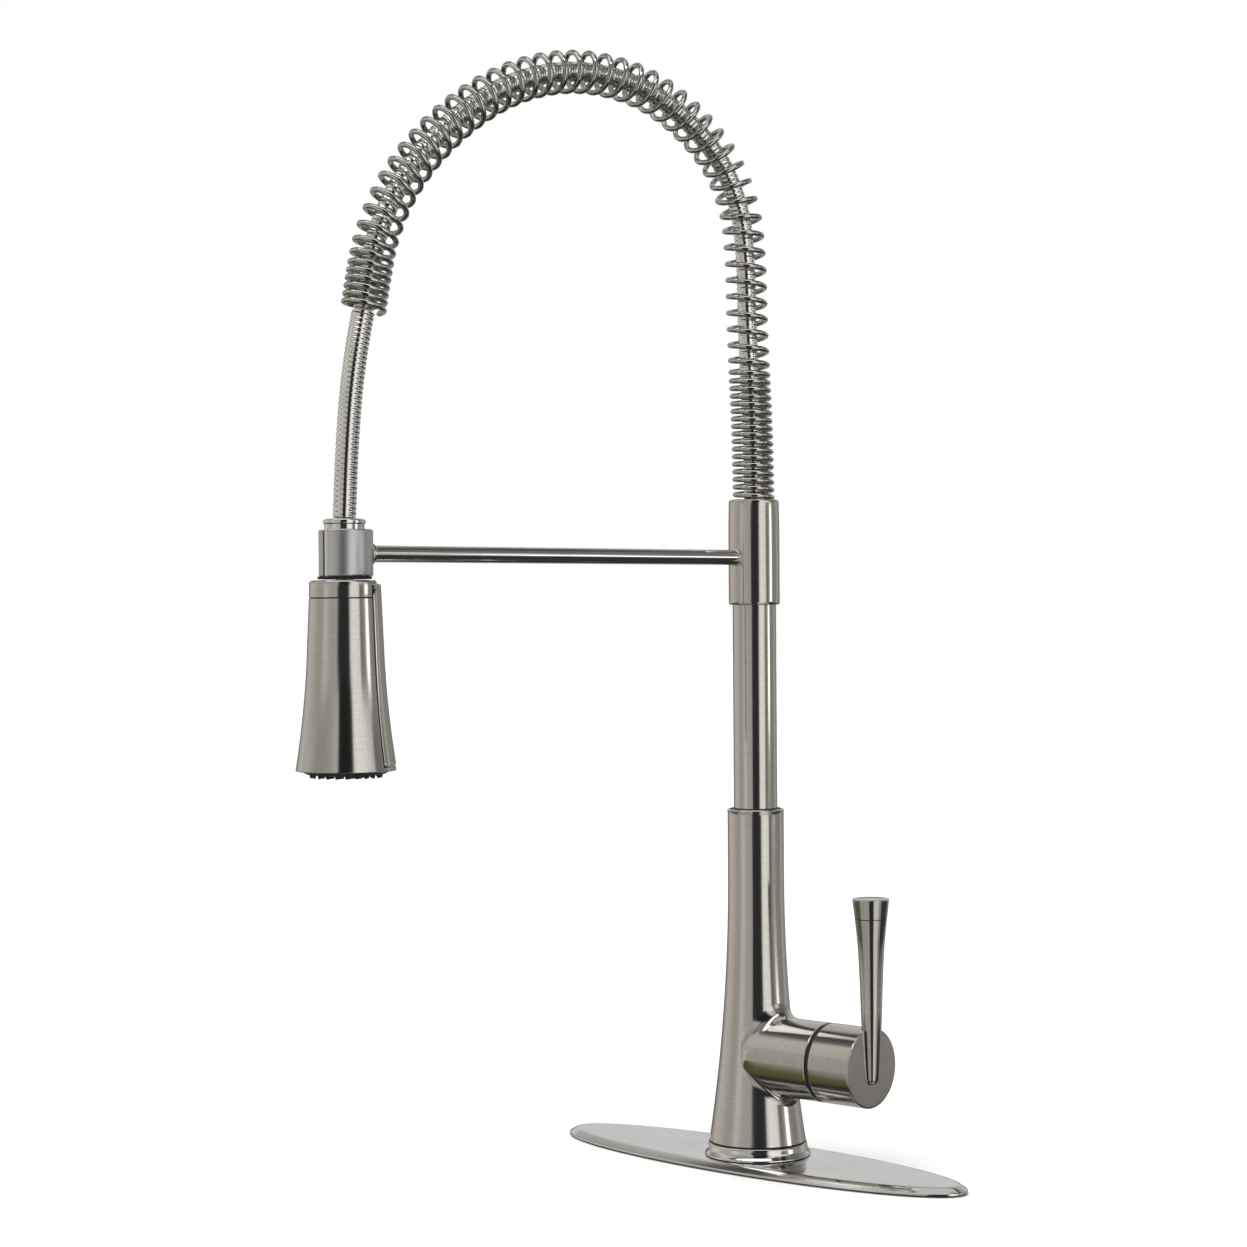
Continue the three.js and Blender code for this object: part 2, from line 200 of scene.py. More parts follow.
def polishedSteel(name, tone=1.0, rough=0.05):
    # plated and buffed, with water haze
    finish, sheet, inputs = newFinish(name, 1.0)
    haze = noise(sheet, (60.0, 60.0, 60.0), 4.0, 0.6)
    fine = noise(sheet, (1400.0, 1400.0, 1400.0), 2.0, 0.5)
    worn = sheet.smooth(haze, 0.42, 0.7)
    bright, dull = (rgba([c * tone for c in polished[key]]) for key in ("fresh", "worn"))
    feed(sheet, inputs, sheet.mixColours(worn, bright, dull), rough + 0.03 * worn + 0.03 * fine,
         fine, 0.06, 0.00002)
    return finish


def satinSteel(name):
    # bead blasted: an even, fine, grey grain
    finish, sheet, inputs = newFinish(name, 1.0)
    grain = noise(sheet, (3200.0, 3200.0, 3200.0), 3.0, 0.6)
    cloud = noise(sheet, (50.0, 50.0, 50.0), 2.0, 0.5)
    feed(sheet, inputs, sheet.mixColours(grain, rgba((0.60, 0.60, 0.605)), rgba((0.80, 0.80, 0.805))),
         0.30 + 0.10 * cloud + 0.06 * grain, grain, 0.22, 0.00004)
    return finish


def mouldedRubber(name, colour, rough):
    finish, sheet, inputs = newFinish(name)
    grain = noise(sheet, (1800.0, 1800.0, 1800.0), 3.0, 0.6)
    cloud = noise(sheet, (70.0, 70.0, 70.0), 2.0, 0.5)
    dark, light = (rgba([c * tone for c in colour]) for tone in (0.7, 1.5))
    feed(sheet, inputs, sheet.mixColours(cloud, dark, light),
         rough - 0.08 + 0.16 * cloud, grain, 0.3, 0.00006)
    inputs["Specular IOR Level"].default_value = 0.4
    return finish


def machinedBrass(name):
    finish, sheet, inputs = newFinish(name, 1.0)
    turned = noise(sheet, (40.0, 40.0, 2400.0), 3.0, 0.6)
    cloud = noise(sheet, (45.0, 45.0, 45.0), 3.0, 0.6)
    feed(sheet, inputs, sheet.mixColours(cloud, rgba((0.60, 0.44, 0.18)), rgba((0.78, 0.62, 0.32))),
         0.22 + 0.16 * cloud, turned, 0.2, 0.00004)
    return finish


def zincPlate(name):
    finish, sheet, inputs = newFinish(name, 1.0)
    spangle = sheet.add("ShaderNodeTexVoronoi", None,
                        {"Vector": stretched(sheet, (1.0, 1.0, 1.0)), "Scale": 420.0}).out(0)
    cloud = noise(sheet, (80.0, 80.0, 80.0), 3.0, 0.6)
    feed(sheet, inputs, sheet.mixColours(cloud, rgba((0.50, 0.51, 0.53)), rgba((0.72, 0.72, 0.73))),
         0.26 + 0.14 * spangle, spangle, 0.12, 0.00004)
    return finish


bodySteel = brushedSteel("nickelBrushedUpright", "z")
hubSteel = brushedSteel("nickelBrushedCross", "x")
plateSteel = polishedSteel("nickelPlate", 0.98, 0.07)
brightSteel = polishedSteel("chromeBright")
barSteel = polishedSteel("nickelBar", 0.98, 0.06)
wireSteel = polishedSteel("springWire", 0.76, 0.05)
ribSteel = polishedSteel("hoseRibSteel", 1.15, 0.08)
clipSteel = satinSteel("clipSatin")
sheath = mouldedRubber("hoseSheath", (0.055, 0.055, 0.06), 0.42)
blackRubber = mouldedRubber("rubberBlack", (0.014, 0.014, 0.015), 0.55)
darkPlastic = mouldedRubber("plasticDark", (0.035, 0.035, 0.038), 0.38)
brass = machinedBrass("brassMachined")
zinc = zincPlate("zincPlated")
print("faucet: finishes made")

finishOfSlot = {"steel_brushed": bodySteel, "steel_bright": plateSteel, "steel_satin": clipSteel,
                "spring_wire": wireSteel, "hose_sheath": sheath, "black_rubber": blackRubber,
                "dark_plastic": darkPlastic, "brass_fitting": brass, "zinc_hardware": zinc}
slotOfNode = {part["node"]: part["material_slot"] for part in frame["record"]["subparts"]}
for node, obj in frame["nodes"].items():
    obj.data.materials.clear()
    obj.data.materials.append(finishOfSlot[slotOfNode[node]])


def sharpen(mesh, degrees):
    shape = bmesh.new()
    shape.from_mesh(mesh)
    bmesh.ops.remove_doubles(shape, verts=shape.verts, dist=1e-7)
    bmesh.ops.recalc_face_normals(shape, faces=shape.faces)
    for face in shape.faces:
        face.smooth = True
    for edge in shape.edges:
        if len(edge.link_faces) == 2 and edge.calc_face_angle() > math.radians(degrees):
            edge.smooth = False
    shape.to_mesh(mesh)
    shape.free()


def piece(name, points, faces, finish, body, nodes=(), crease=34):
    mesh = bpy.data.meshes.new(name)
    mesh.from_pydata([tuple(p) for p in points], [], faces)
    sharpen(mesh, crease)
    mesh.materials.append(finish)
    obj = bpy.data.objects.new(name, mesh)
    bpy.context.scene.collection.objects.link(obj)
    if body:
        finishPiece(obj, body, nodes)
    return obj


def finishPiece(obj, body, nodes):
    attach(obj, body)
    if nodes:
        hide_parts(*nodes)


def eased(corners, closed, steps=5):
    # rounds each (radius, height, bend) corner that has a bend
    made = []
    count = len(corners)
    for i, corner in enumerate(corners):
        bend = corner[2] if len(corner) > 2 else 0
        here = Vector(corner[:2])
        if not bend or (not closed and i in (0, count - 1)):
            made.append(here)
            continue
        before = Vector(corners[i - 1][:2]) - here
        after = Vector(corners[(i + 1) % count][:2]) - here
        reach = min(bend, before.length * 0.48, after.length * 0.48)
        start = here + before.normalized() * reach
        end = here + after.normalized() * reach
        for k in range(steps + 1):
            t = k / steps
            made.append(start * (1 - t) ** 2 + here * (2 * t * (1 - t)) + end * t ** 2)
    return made


def rings(profile, closed, segments, place):
    # turns a profile of (radius, height) points about an axis
    points, faces, rows = [], [], []
    for radius, height in profile:
        if radius < 1e-9:
            rows.append([len(points)] * segments)
            points.append(place(0, 0, height))
        else:
            rows.append(list(range(len(points), len(points) + segments)))
            for k in range(segments):
                a = turn * k / segments
                points.append(place(radius * math.cos(a), radius * math.sin(a), height))
    joins = list(zip(rows, rows[1:])) + ([(rows[-1], rows[0])] if closed else [])
    for low, high in joins:
        for k in range(segments):
            n = (k + 1) % segments
            corners = [low[k], low[n], high[n], high[k]]
            face = list(dict.fromkeys(corners))
            if len(face) > 2:
                faces.append(face)
    return points, faces


def skinned(rows, closed):
    # joins rings with equal numbers of points: in a closed loop, or with a cap at each end
    count = len(rows[0])
    starts = [count * k for k in range(len(rows))]
    faces = []
    for a, b in zip(starts, starts[1:] + (starts[:1] if closed else [])):
        for k in range(count):
            n = (k + 1) % count
            faces.append([a + k, a + n, b + n, b + k])
    if not closed:
        faces.append(list(range(count))[::-1])
        faces.append(list(range(starts[-1], starts[-1] + count)))
    return [p for row in rows for p in row], faces


def oval(halfX, halfY, height, count):
    angles = [turn * k / count for k in range(count)]
    return [Vector((halfX * math.cos(a), halfY * math.sin(a), height)) * mm for a in angles]


def upright(x=0.0, y=0.0):
    return lambda a, b, h: Vector((x + a, y + b, h))


def alongX(height):
    return lambda a, b, h: Vector((h, a, height + b))


def lathe(name, corners, finish, body, nodes=(), place=None, segments=96, closed=None, crease=34):
    # corners are in millimetres
    if closed is None:
        closed = corners[0][0] > 0 or corners[-1][0] > 0
    profile = [(p.x * mm, p.y * mm) for p in eased(corners, closed)]
    points, faces = rings(profile, closed, segments, place or upright())
    return piece(name, points, faces, finish, body, nodes, crease)


def tube(radius, bore, low, high, bend=0.4):
    return [(bore, low, bend), (radius, low, bend), (radius, high, bend), (bore, high, bend)]


def between(low, high, steps, radiusAt):
    heights = [low + (high - low) * k / steps for k in range(steps + 1)]
    return [(radiusAt(h), h) for h in heights]


def cutWith(obj, tool):
    change = obj.modifiers.new("cut", "BOOLEAN")
    change.operation = "DIFFERENCE"
    change.solver = "EXACT"
    change.object = tool
    bpy.context.view_layer.update()
    seen = obj.evaluated_get(bpy.context.evaluated_depsgraph_get())
    mesh = bpy.data.meshes.new_from_object(seen)
    obj.modifiers.clear()
    obj.data = mesh
    sharpen(mesh, 30)
    bpy.data.objects.remove(tool)


def spanMm(node):
    low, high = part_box(node)
    return low / mm, high / mm


def middle(node):
    low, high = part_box(node)
    return (low + high) / 2


wandAxis = middle("wand_cap")
spoutTurn = math.atan2(wandAxis.x, -wandAxis.y)  # about +Z, from straight forwards
reach = math.hypot(wandAxis.x, wandAxis.y)
forward = Vector((math.sin(spoutTurn), -math.cos(spoutTurn), 0))
sideways = Vector((math.cos(spoutTurn), math.sin(spoutTurn), 0))
up = Vector((0, 0, 1))
wandPlace = upright(wandAxis.x, wandAxis.y)


def spoutPoint(out, height):
    return forward * (out * mm) + up * (height * mm)


plateLook = {"lip": 0.9, "inset": 4.6, "bore": 18.5, "segments": 192}
ringLook = {"neckInset": 1.9, "seamBore": 17}


def makePlate():
    low, high = spanMm("deck_plate")
    half = (high - low) / 2
    bore, inset, count = (plateLook[k] for k in ("bore", "inset", "segments"))
    edge = eased([(0, low.z), (0, low.z + plateLook["lip"], 0.5), (-inset, high.z, 1.6),
                  (-inset - 4, high.z)], False, 6)
    rows = [oval(half.x + p.x, half.y + p.x, p.y, count) for p in edge]
    rows = [oval(bore, bore, low.z, count)] + rows + [oval(bore, bore, high.z, count)]
    points, faces = skinned(rows, True)
    piece("deckPlate", points, faces, plateSteel, "base", ["deck_plate"], 40)
    low, high = spanMm("deck_gasket")
    half = (high - low) / 2
    rows = [oval(bore, bore, low.z, count), oval(half.x, half.y, low.z, count),
            oval(half.x, half.y, high.z, count), oval(bore, bore, high.z, count)]
    points, faces = skinned(rows, True)
    piece("deckGasket", points, faces, blackRubber, "base", ["deck_gasket"])


def makeBaseRing():
    low, high = spanMm("base_ring")
    bore = plateLook["bore"]
    outer = (high.x - low.x) / 2
    neck = outer - ringLook["neckInset"]
    lathe("baseRing", [(bore, low.z), (outer, low.z, 0.3), (outer - 0.2, low.z + 0.8, 0.6),
                       (neck + 0.3, low.z + 2.6, 2.2), (neck, high.z - 0.9, 1.0), (neck - 0.4, high.z, 0.4),
                       (bore, high.z)],
          plateSteel, "base", ["base_ring"])
    seam = tube(neck - 0.5, ringLook["seamBore"], high.z + 0.02, spanMm("body_shell")[0].z + 0.2, 0)
    lathe("bodySeam", seam, blackRubber, "base")


makePlate()
makeBaseRing()
print("faucet: deck plate made")

bodyLook = {"waist": 14.6, "flare": 10.75, "flareTop": 150.0, "flareHeight": 140.0, "footBore": 18,
            "topBore": 12.2}
barrelLook = {"radius": 20.2, "bore": 17.0, "topBlend": 8.5, "underBlend": 5.5, "sideBlend": 3.0,
              "segments": 160, "steps": 14}


def bodyRadius(z):
    rise = max(0.0, bodyLook["flareTop"] - z) / bodyLook["flareHeight"]
    return bodyLook["waist"] + bodyLook["flare"] * rise * rise


def onBody(across, z):
    # the body's surface on the +X side, at that distance across and height
    radius = bodyRadius(z)
    share = abs(across) / radius
    if share > 0.86:
        share = 0.86 + 0.125 * math.tanh((share - 0.86) / 0.125)
    y = math.copysign(share * radius, across)
    return Vector((radius * math.sqrt(1 - share * share), y, z))


def bodyNormal(p):
    slope = bodyRadius(p.z + 0.5) - bodyRadius(p.z - 0.5)
    flat = Vector((p.x, p.y, 0)).normalized()
    return Vector((flat.x, flat.y, -slope)).normalized()


def makeBody():
    low, high = spanMm("body_shell")
    end = high.x
    axis = middle("trim_ring").z / mm
    flank = between(low.z + 0.6, high.z - 1.6, 90, bodyRadius)
    waist, footBore, topBore = (bodyLook[k] for k in ("waist", "footBore", "topBore"))
    lathe("bodyColumn", [(footBore, low.z), (bodyRadius(low.z) - 0.5, low.z, 0.3)] + flank
          + [(waist + 0.25, high.z - 0.7, 0.5), (waist - 0.5, high.z, 0.5),
             (topBore, high.z, 0.3), (topBore, low.z + 45), (footBore, low.z + 15)],
          bodySteel, "base", ["body_shell"], segments=160)
    radius, bore, count, steps = (barrelLook[k] for k in ("radius", "bore", "segments", "steps"))
    # the barrel's rim, as distances back from its end and radii
    rim = [(3.4, bore), (0, bore), (0, radius - 0.35), (0.12, radius - 0.1), (0.35, radius), (0.8, radius)]
    rows = []
    for k in range(count):
        a = turn * k / count
        out = Vector((0, math.sin(a), math.cos(a)))
        lift = abs(out.z) ** 1.6
        tall = barrelLook["topBlend"] if out.z > 0 else barrelLook["underBlend"]
        blendSize = barrelLook["sideBlend"] + (tall - barrelLook["sideBlend"]) * lift
        spread = blendSize * (0.1 + 0.9 * lift)
        foot = onBody((radius + spread) * out.y, axis + (radius + spread) * out.z)
        root = onBody(radius * out.y, axis + radius * out.z)
        start = Vector((root.x + blendSize + 2.5 * (1 - lift), radius * out.y, axis + radius * out.z))
        normal = bodyNormal(foot)
        inward = normal * out.dot(normal) - out
        inward = inward.normalized() if inward.length > 1e-6 else Vector((1, 0, 0))
        pull = (start - foot).length * 0.42
        line = [Vector((end - back, out.y * r, axis + out.z * r)) for back, r in rim]
        for j in range(1, 8):
            line.append(line[5].lerp(start, j / 8))
        one = start + Vector((-pull, 0, 0))
        two = foot + inward * pull
        for j in range(steps + 1):
            t = j / steps
            near = start * (1 - t) ** 3 + one * (3 * t * (1 - t) ** 2)
            line.append(near + two * (3 * t * t * (1 - t)) + foot * t ** 3)
        line[-1] = line[-1] - normal * 0.03
        line.append(foot - normal * 1.2 + out * -0.6)
        rows.append(line)
    points = [p * mm for line in rows for p in line]
    span = len(rows[0])
    faces = []
    for k in range(count):
        n = (k + 1) % count
        for j in range(span - 1):
            faces.append([k * span + j, k * span + j + 1, n * span + j + 1, n * span + j])
    obj = piece("valveBarrel", points, faces, hubSteel, "base", ["body_shell"], 40)
    faceOut(obj, Vector((end * mm, 0, axis * mm)))


def faceOut(obj, inside):
    # an open skin: turns it round if most of it faces its own axis
    total = sum((p.center - Vector((p.center.x, 0, inside.z))).dot(p.normal) for p in obj.data.polygons)
    if total < 0:
        obj.data.flip_normals()


makeBody()
print("faucet: body and barrel made")

leverLook = {"foot": 48.8, "gap": 0.35, "outline": [
    (48.8, 3.1), (56, 3.75), (68, 4.5), (81, 5.2), (91, 5.5), (101, 5.85), (111, 6.3), (121, 6.95),
    (131.9, 8.1), (142, 9.3)]}
hubLook = {"hollow": 16.6, "depth": 11, "screwX": 63}


def leverRadius(z):
    # a smooth curve through the outline's points
    line = leverLook["outline"]
    if z <= line[0][0]:
        return line[0][1]
    for i in range(len(line) - 1):
        if z <= line[i + 1][0] or i == len(line) - 2:
            a, b = line[i], line[i + 1]
            before = line[max(i - 1, 0)]
            after = line[min(i + 2, len(line) - 1)]
            width = b[0] - a[0]
            t = min(1.0, (z - a[0]) / width)
            slopeA = (b[1] - before[1]) / (b[0] - before[0]) * width
            slopeB = (after[1] - a[1]) / (after[0] - a[0]) * width
            return ((2 * t ** 3 - 3 * t ** 2 + 1) * a[1] + (t ** 3 - 2 * t ** 2 + t) * slopeA
                    + (3 * t ** 2 - 2 * t ** 3) * b[1] + (t ** 3 - t ** 2) * slopeB)


def leverCorners(low, high, grow=0.0):
    foot = leverLook["foot"]
    sides = between(foot + 3, high, 40, leverRadius)
    corners = [(0, low - grow), (1.2, low - grow), (2.5 + grow, low - grow + 0.5, 0.6),
               (leverRadius(foot + 1.5) - 0.2 + grow, low + 1.4)]
    return corners + [(r + grow, z) for r, z in sides] + [(0, high)]


def makeHandle():
    low, high = spanMm("handle_hub")
    axis = middle("trim_ring").z / mm
    radius = barrelLook["radius"]
    bodyIn, bodyOut = spanMm("handle_lever")
    leverX = (bodyIn.x + bodyOut.x) / 2
    inside = low.x + hubLook["depth"]
    hub = lathe("handleHub", [(0, inside), (hubLook["hollow"], inside), (19.5, low.x),
                              (radius - 0.2, low.x, 0.15), (radius, low.x + 0.35, 0.2), (radius, low.x + 1),
                              (radius, low.x + 12), (radius, high.x - 1.1), (radius, high.x, 0.45),
                              (radius - 1.1, high.x), (0, high.x)],
                hubSteel, None, place=alongX(axis * mm), segments=160)
    foot = lathe("slotTool", leverCorners(leverLook["foot"], 90, leverLook["gap"]), hubSteel, None,
                 place=upright(leverX * mm), segments=64)
    cutWith(hub, foot)
    # a notch in the hub's lower edge, and the hole for its set screw
    for name, radius, top, x, segments in (("notchTool", 4.2, axis - 10, low.x - 0.6, 48),
                                           ("holeTool", 2.3, axis - 12, hubLook["screwX"], 40)):
        shape = [(0, axis - 40), (radius, axis - 40), (radius, top), (0, top)]
        cutWith(hub, lathe(name, shape, hubSteel, None, place=upright(x * mm), segments=segments))
    finishPiece(hub, "lever", ["handle_hub"])
    seam = bodyOut.z
    lathe("handleLever", leverCorners(leverLook["foot"], seam - 0.1), bodySteel, "lever", ["handle_lever"],
          place=upright(leverX * mm))
    capLow, capHigh = spanMm("lever_cap")
    top = leverRadius(capHigh.z - 0.5)
    lathe("leverCap", [(0, capLow.z)] + between(capLow.z, capHigh.z - 1.2, 12, leverRadius)
          + [(top, capHigh.z - 0.45, 0.5), (top - 1.2, capHigh.z - 0.15, 0.5), (0, capHigh.z + 0.1)],
          bodySteel, "lever", ["lever_cap"], place=upright(leverX * mm))
    inner = leverRadius(seam) - 0.35
    lathe("leverSeam", [(0, seam - 0.6), (inner, seam - 0.6), (inner, capLow.z + 0.6), (0, capLow.z + 0.6)],
          blackRubber, "lever", place=upright(leverX * mm))
    low, high = spanMm("trim_ring")
    outer = (high.y - low.y) / 2
    lathe("trimRing", [(15, low.x - 1.5), (outer + 0.3, low.x - 1.5), (outer + 0.3, high.x - 0.7, 0.5),
                       (outer - 0.5, high.x, 0.4), (15, high.x)],
          blackRubber, "base", ["trim_ring"], place=alongX(axis * mm), segments=128)
    low, high = spanMm("hub_set_screw")
    x = (low.x + high.x) / 2
    lathe("hubScrew", [(0, low.z + 1.4), (0.9, low.z + 1.4), (0.9, low.z, 0.15), (2.0, low.z, 0.4),
                       (2.0, high.z), (0, high.z)],
          zinc, "lever", ["hub_set_screw"], place=upright(x * mm), segments=48, closed=False)


makeHandle()
print("faucet: handle made")

postLook = {"radius": 11.3, "wall": 1.2, "sealRadius": 13.2}
sleeveLook = {"radius": 13.25, "bulge": 0.35, "bend": 1.6}
barLook = {"radius": 3.95, "ferrule": 5.1, "ferruleLong": 2.2, "backLong": 1.1, "endInset": 12.4,
           "ringInset": 13.0}


def makePost():
    low, high = spanMm("spout_post")
    radius = postLook["radius"]
    lathe("spoutPost", tube(radius, radius - postLook["wall"], low.z, high.z - 2, 0.2), bodySteel,
          "spout", ["spout_post"], segments=128)
    columnTop = spanMm("body_shell")[1].z
    seal = postLook["sealRadius"]
    lathe("swivelSeal", [(radius + 0.05, columnTop - 3), (seal, columnTop - 3), (seal, columnTop + 0.25, 0.2),
                         (radius + 0.45, columnTop + 0.45, 0.2), (radius + 0.05, columnTop + 0.3)],
          blackRubber, "base", ["swivel_bush"])
    low, high = spanMm("support_sleeve")
    outer = sleeveLook["radius"]
    half = (high.z - low.z) / 2
    centre = low.z + half

    def sleeveRadius(z):
        share = (z - centre) / half
        return outer - sleeveLook["bulge"] * max(0.0, share) ** 3
    lathe("supportSleeve", [(radius + 0.08, low.z + 0.9), (radius + 0.4, low.z, 0.3),
                            (outer - 0.3, low.z, 0.5), (outer, low.z + 1.2, 0.5)]
          + between(low.z + 2.4, high.z - sleeveLook["bend"] - 0.4, 24, sleeveRadius)
          + [(sleeveRadius(high.z), high.z - 0.5, 0.9), (sleeveRadius(high.z) - 0.9, high.z, 0.5),
             (11.25, high.z, 0.25), (11.25, high.z - 14), (radius + 0.08, high.z - 20)],
          bodySteel, "spout", ["support_sleeve"], segments=144)
    low, high = spanMm("spring_ferrule")
    lathe("springFerrule", tube(10.9, 6.0, low.z, high.z - 6, 0.5), brass, "spout", ["spring_ferrule"])


def tubeAlong(path, sides, radiusAt):
    # a tube in the spout's plane, whose radius may change with distance and angle
    rows = []
    count = len(path)
    gone = 0.0
    for i, here in enumerate(path):
        ahead = path[min(i + 1, count - 1)] - path[max(i - 1, 0)]
        across = sideways.cross(ahead.normalized()).normalized()
        if i:
            gone += (here - path[i - 1]).length
        row = []
        for k in range(sides):
            a = turn * k / sides
            row.append(here + (across * math.cos(a) + sideways * math.sin(a)) * (radiusAt(gone, a) * mm))
        rows.append(row)
    return skinned(rows, False)


def makeBar():
    height = middle("support_bar").z / mm
    radius = barLook["radius"]
    start = sleeveLook["radius"] - 4
    end = reach / mm - barLook["endInset"]
    path = [spoutPoint(start + (end - start) * k / 24, height) for k in range(25)]
    points, faces = tubeAlong(path, 48, lambda gone, a: radius)
    piece("supportBar", points, faces, barSteel, "spout", ["support_bar"])
    # a small ring closes the joint at each end of the bar
    front = reach / mm - barLook["ringInset"] - barLook["ferruleLong"]
    for name, place, size, long in (
            ("barRingFront", front, barLook["ferrule"], barLook["ferruleLong"]),
            ("barRingBack", sleeveLook["radius"] - 0.7, radius + 0.5, barLook["backLong"])):
        outline = eased([(radius - 0.2, 0), (size, 0, 0.7), (size, long, 0.5), (radius - 0.2, long)], True, 4)

        def stand(a, b, h, place=place):
            return forward * (place * mm + h) + sideways * a + up * (height * mm + b)
        points, faces = rings([(p.x * mm, p.y * mm) for p in outline], True, 48, stand)
        piece(name, points, faces, brightSteel, "spout")


def arcBand(corners, first, last, steps, place):
    # a closed cross-section of (radius, height) swept part of the way round
    profile = eased(corners, True, 4)
    angles = [first + (last - first) * i / steps for i in range(steps + 1)]
    rows = []
    for a in angles:
        rows.append([place(p.x * mm * math.cos(a), p.x * mm * math.sin(a), p.y * mm) for p in profile])
    return skinned(rows, False)


dockLook = {"radius": 13.2, "bore": 10.6, "liner": 9.7, "mouth": 74.0, "turn": -108.0}


def makeDock():
    low, high = spanMm("dock_clip")
    facing = spoutTurn + math.radians(dockLook["turn"])
    half = math.radians(dockLook["mouth"] / 2)
    outer, bore, liner = (dockLook[k] for k in ("radius", "bore", "liner"))
    shape = [(bore, low.z, 0.4), (outer, low.z, 0.7), (outer, high.z, 0.9), (bore, high.z, 0.4)]
    points, faces = arcBand(shape, facing + half, facing + turn - half, 120, wandPlace)
    clip = piece("dockClip", points, faces, clipSteel, None)
    soften(clip, 0.35)
    finishPiece(clip, "spout", ["dock_clip"])
    inner = tube(bore - 0.05, liner, low.z + 0.5, high.z - 0.5, 0.2)
    points, faces = arcBand(inner, facing + half, facing + turn - half, 90, wandPlace)
    piece("dockLiner", points, faces, darkPlastic, "spout", ["dock_liner"])


def soften(obj, width):
    # rounds the sharp edges of a finished mesh
    change = obj.modifiers.new("soft", "BEVEL")
    change.width = width * mm
    change.segments = 3
    change.limit_method = "ANGLE"
    change.angle_limit = math.radians(50)
    bpy.context.view_layer.update()
    mesh = bpy.data.meshes.new_from_object(obj.evaluated_get(bpy.context.evaluated_depsgraph_get()))
    obj.modifiers.clear()
    obj.data = mesh
    sharpen(mesh, 34)


makePost()
makeBar()
makeDock()
print("faucet: post, sleeve, bar and dock made")

# the arch and the drop, as distances out and heights in the spout's plane
archPoints = [(0, 345.1), (0.8, 380), (2.4, 410), (3.8, 440), (4.8, 470), (8.5, 494), (20, 516.5),
              (41, 535.5), (68, 549), (99, 554), (127, 551.5), (154, 542.7), (180, 527.5), (204, 506.5),
              (221, 484.5), (231.5, 462), (236.5, 441), (238.8, 428.5)]
dropPoints = [(239.1, 427), (242.8, 409.2), (246, 388), (248.4, 361), (250, 331)]
springLook = {"outer": 10.9, "wire": 1.42, "tightEnd": 62.0, "tightPitch": 3.95, "openPitch": 8.0,
              "topPitch": 9.4, "lastTight": 19.0, "lastPitch": 3.7, "perTurn": 26, "sides": 10}
hoseLook = {"radius": 4.9, "rib": 2.35, "depth": 0.16}
dropLook = {"radius": 5.35, "rib": 2.35, "depth": 0.15}


def splined(points, spacing):
    # a centripetal Catmull-Rom curve, sampled at even distances
    ends = [(2 * points[0][0] - points[1][0], 2 * points[0][1] - points[1][1])]
    tail = [(2 * points[-1][0] - points[-2][0], 2 * points[-1][1] - points[-2][1])]
    line = [Vector(p) for p in ends + list(points) + tail]
    fine = []
    for i in range(1, len(line) - 2):
        a, b, c, d = line[i - 1:i + 3]
        knots = [0.0]
        for p, q in ((a, b), (b, c), (c, d)):
            knots.append(knots[-1] + (q - p).length ** 0.5)
        for step in range(40):
            t = knots[1] + (knots[2] - knots[1]) * step / 40

            def mixed(p, q, i, j):
                return p.lerp(q, (t - knots[i]) / (knots[j] - knots[i]))
            ab, bc, cd = mixed(a, b, 0, 1), mixed(b, c, 1, 2), mixed(c, d, 2, 3)
            fine.append(mixed(mixed(ab, bc, 0, 2), mixed(bc, cd, 1, 3), 1, 2))
    fine.append(line[-2])
    gone = [0.0]
    for p, q in zip(fine, fine[1:]):
        gone.append(gone[-1] + (q - p).length)
    count = max(2, round(gone[-1] / spacing))
    out, j = [], 0
    for k in range(count + 1):
        want = gone[-1] * k / count
        while j < len(gone) - 2 and gone[j + 1] < want:
            j += 1
        out.append(fine[j].lerp(fine[j + 1], (want - gone[j]) / max(gone[j + 1] - gone[j], 1e-9)))
    return out, gone[-1]


def ribbed(look):
    def radiusAt(gone, a):
        return look["radius"] + look["depth"] * math.sin(turn * (gone / mm / look["rib"] + a / turn))
    return radiusAt


def makeHoses():
    line = splined(archPoints, hoseLook["rib"] / 4)[0]
    path = [spoutPoint(p.x, p.y) for p in line]
    points, faces = tubeAlong(path, 20, ribbed(hoseLook))
    piece("hoseArch", points, faces, ribSteel, "spout", ["hose_arch"], 80)
    line = splined(dropPoints, dropLook["rib"] / 7)[0]
    path = [spoutPoint(p.x, p.y) for p in line]
    points, faces = tubeAlong(path, 32, ribbed(dropLook))
    drop = piece("hoseDrop", points, faces, ribSteel, None, crease=80)
    tuple(path[0])
    tuple(path[-1])
    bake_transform(drop)
    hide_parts("hose_ribs", "hose_drop")
    low, high = spanMm("hose_riser")
    radius = hoseLook["radius"]
    lathe("hoseRiser", [(0, low.z), (radius, low.z, 0.5), (radius, high.z), (0, high.z)], sheath,
          "spout", ["hose_riser"], segments=48)


def pitchAt(gone, long):
    look = springLook
    if gone < look["tightEnd"]:
        return look["tightPitch"]
    left = long - gone
    if left < look["lastTight"]:
        return look["lastPitch"]
    share = min(1.0, (gone - look["tightEnd"]) / 14.0, (left - look["lastTight"]) / 22.0)
    along = (gone - look["tightEnd"]) / (long - look["tightEnd"] - look["lastTight"])
    arch = math.sin(math.pi * min(1.0, max(0.0, along)))
    full = look["openPitch"] + (look["topPitch"] - look["openPitch"]) * arch
    low = look["tightPitch"]
    return low + (full - low) * share


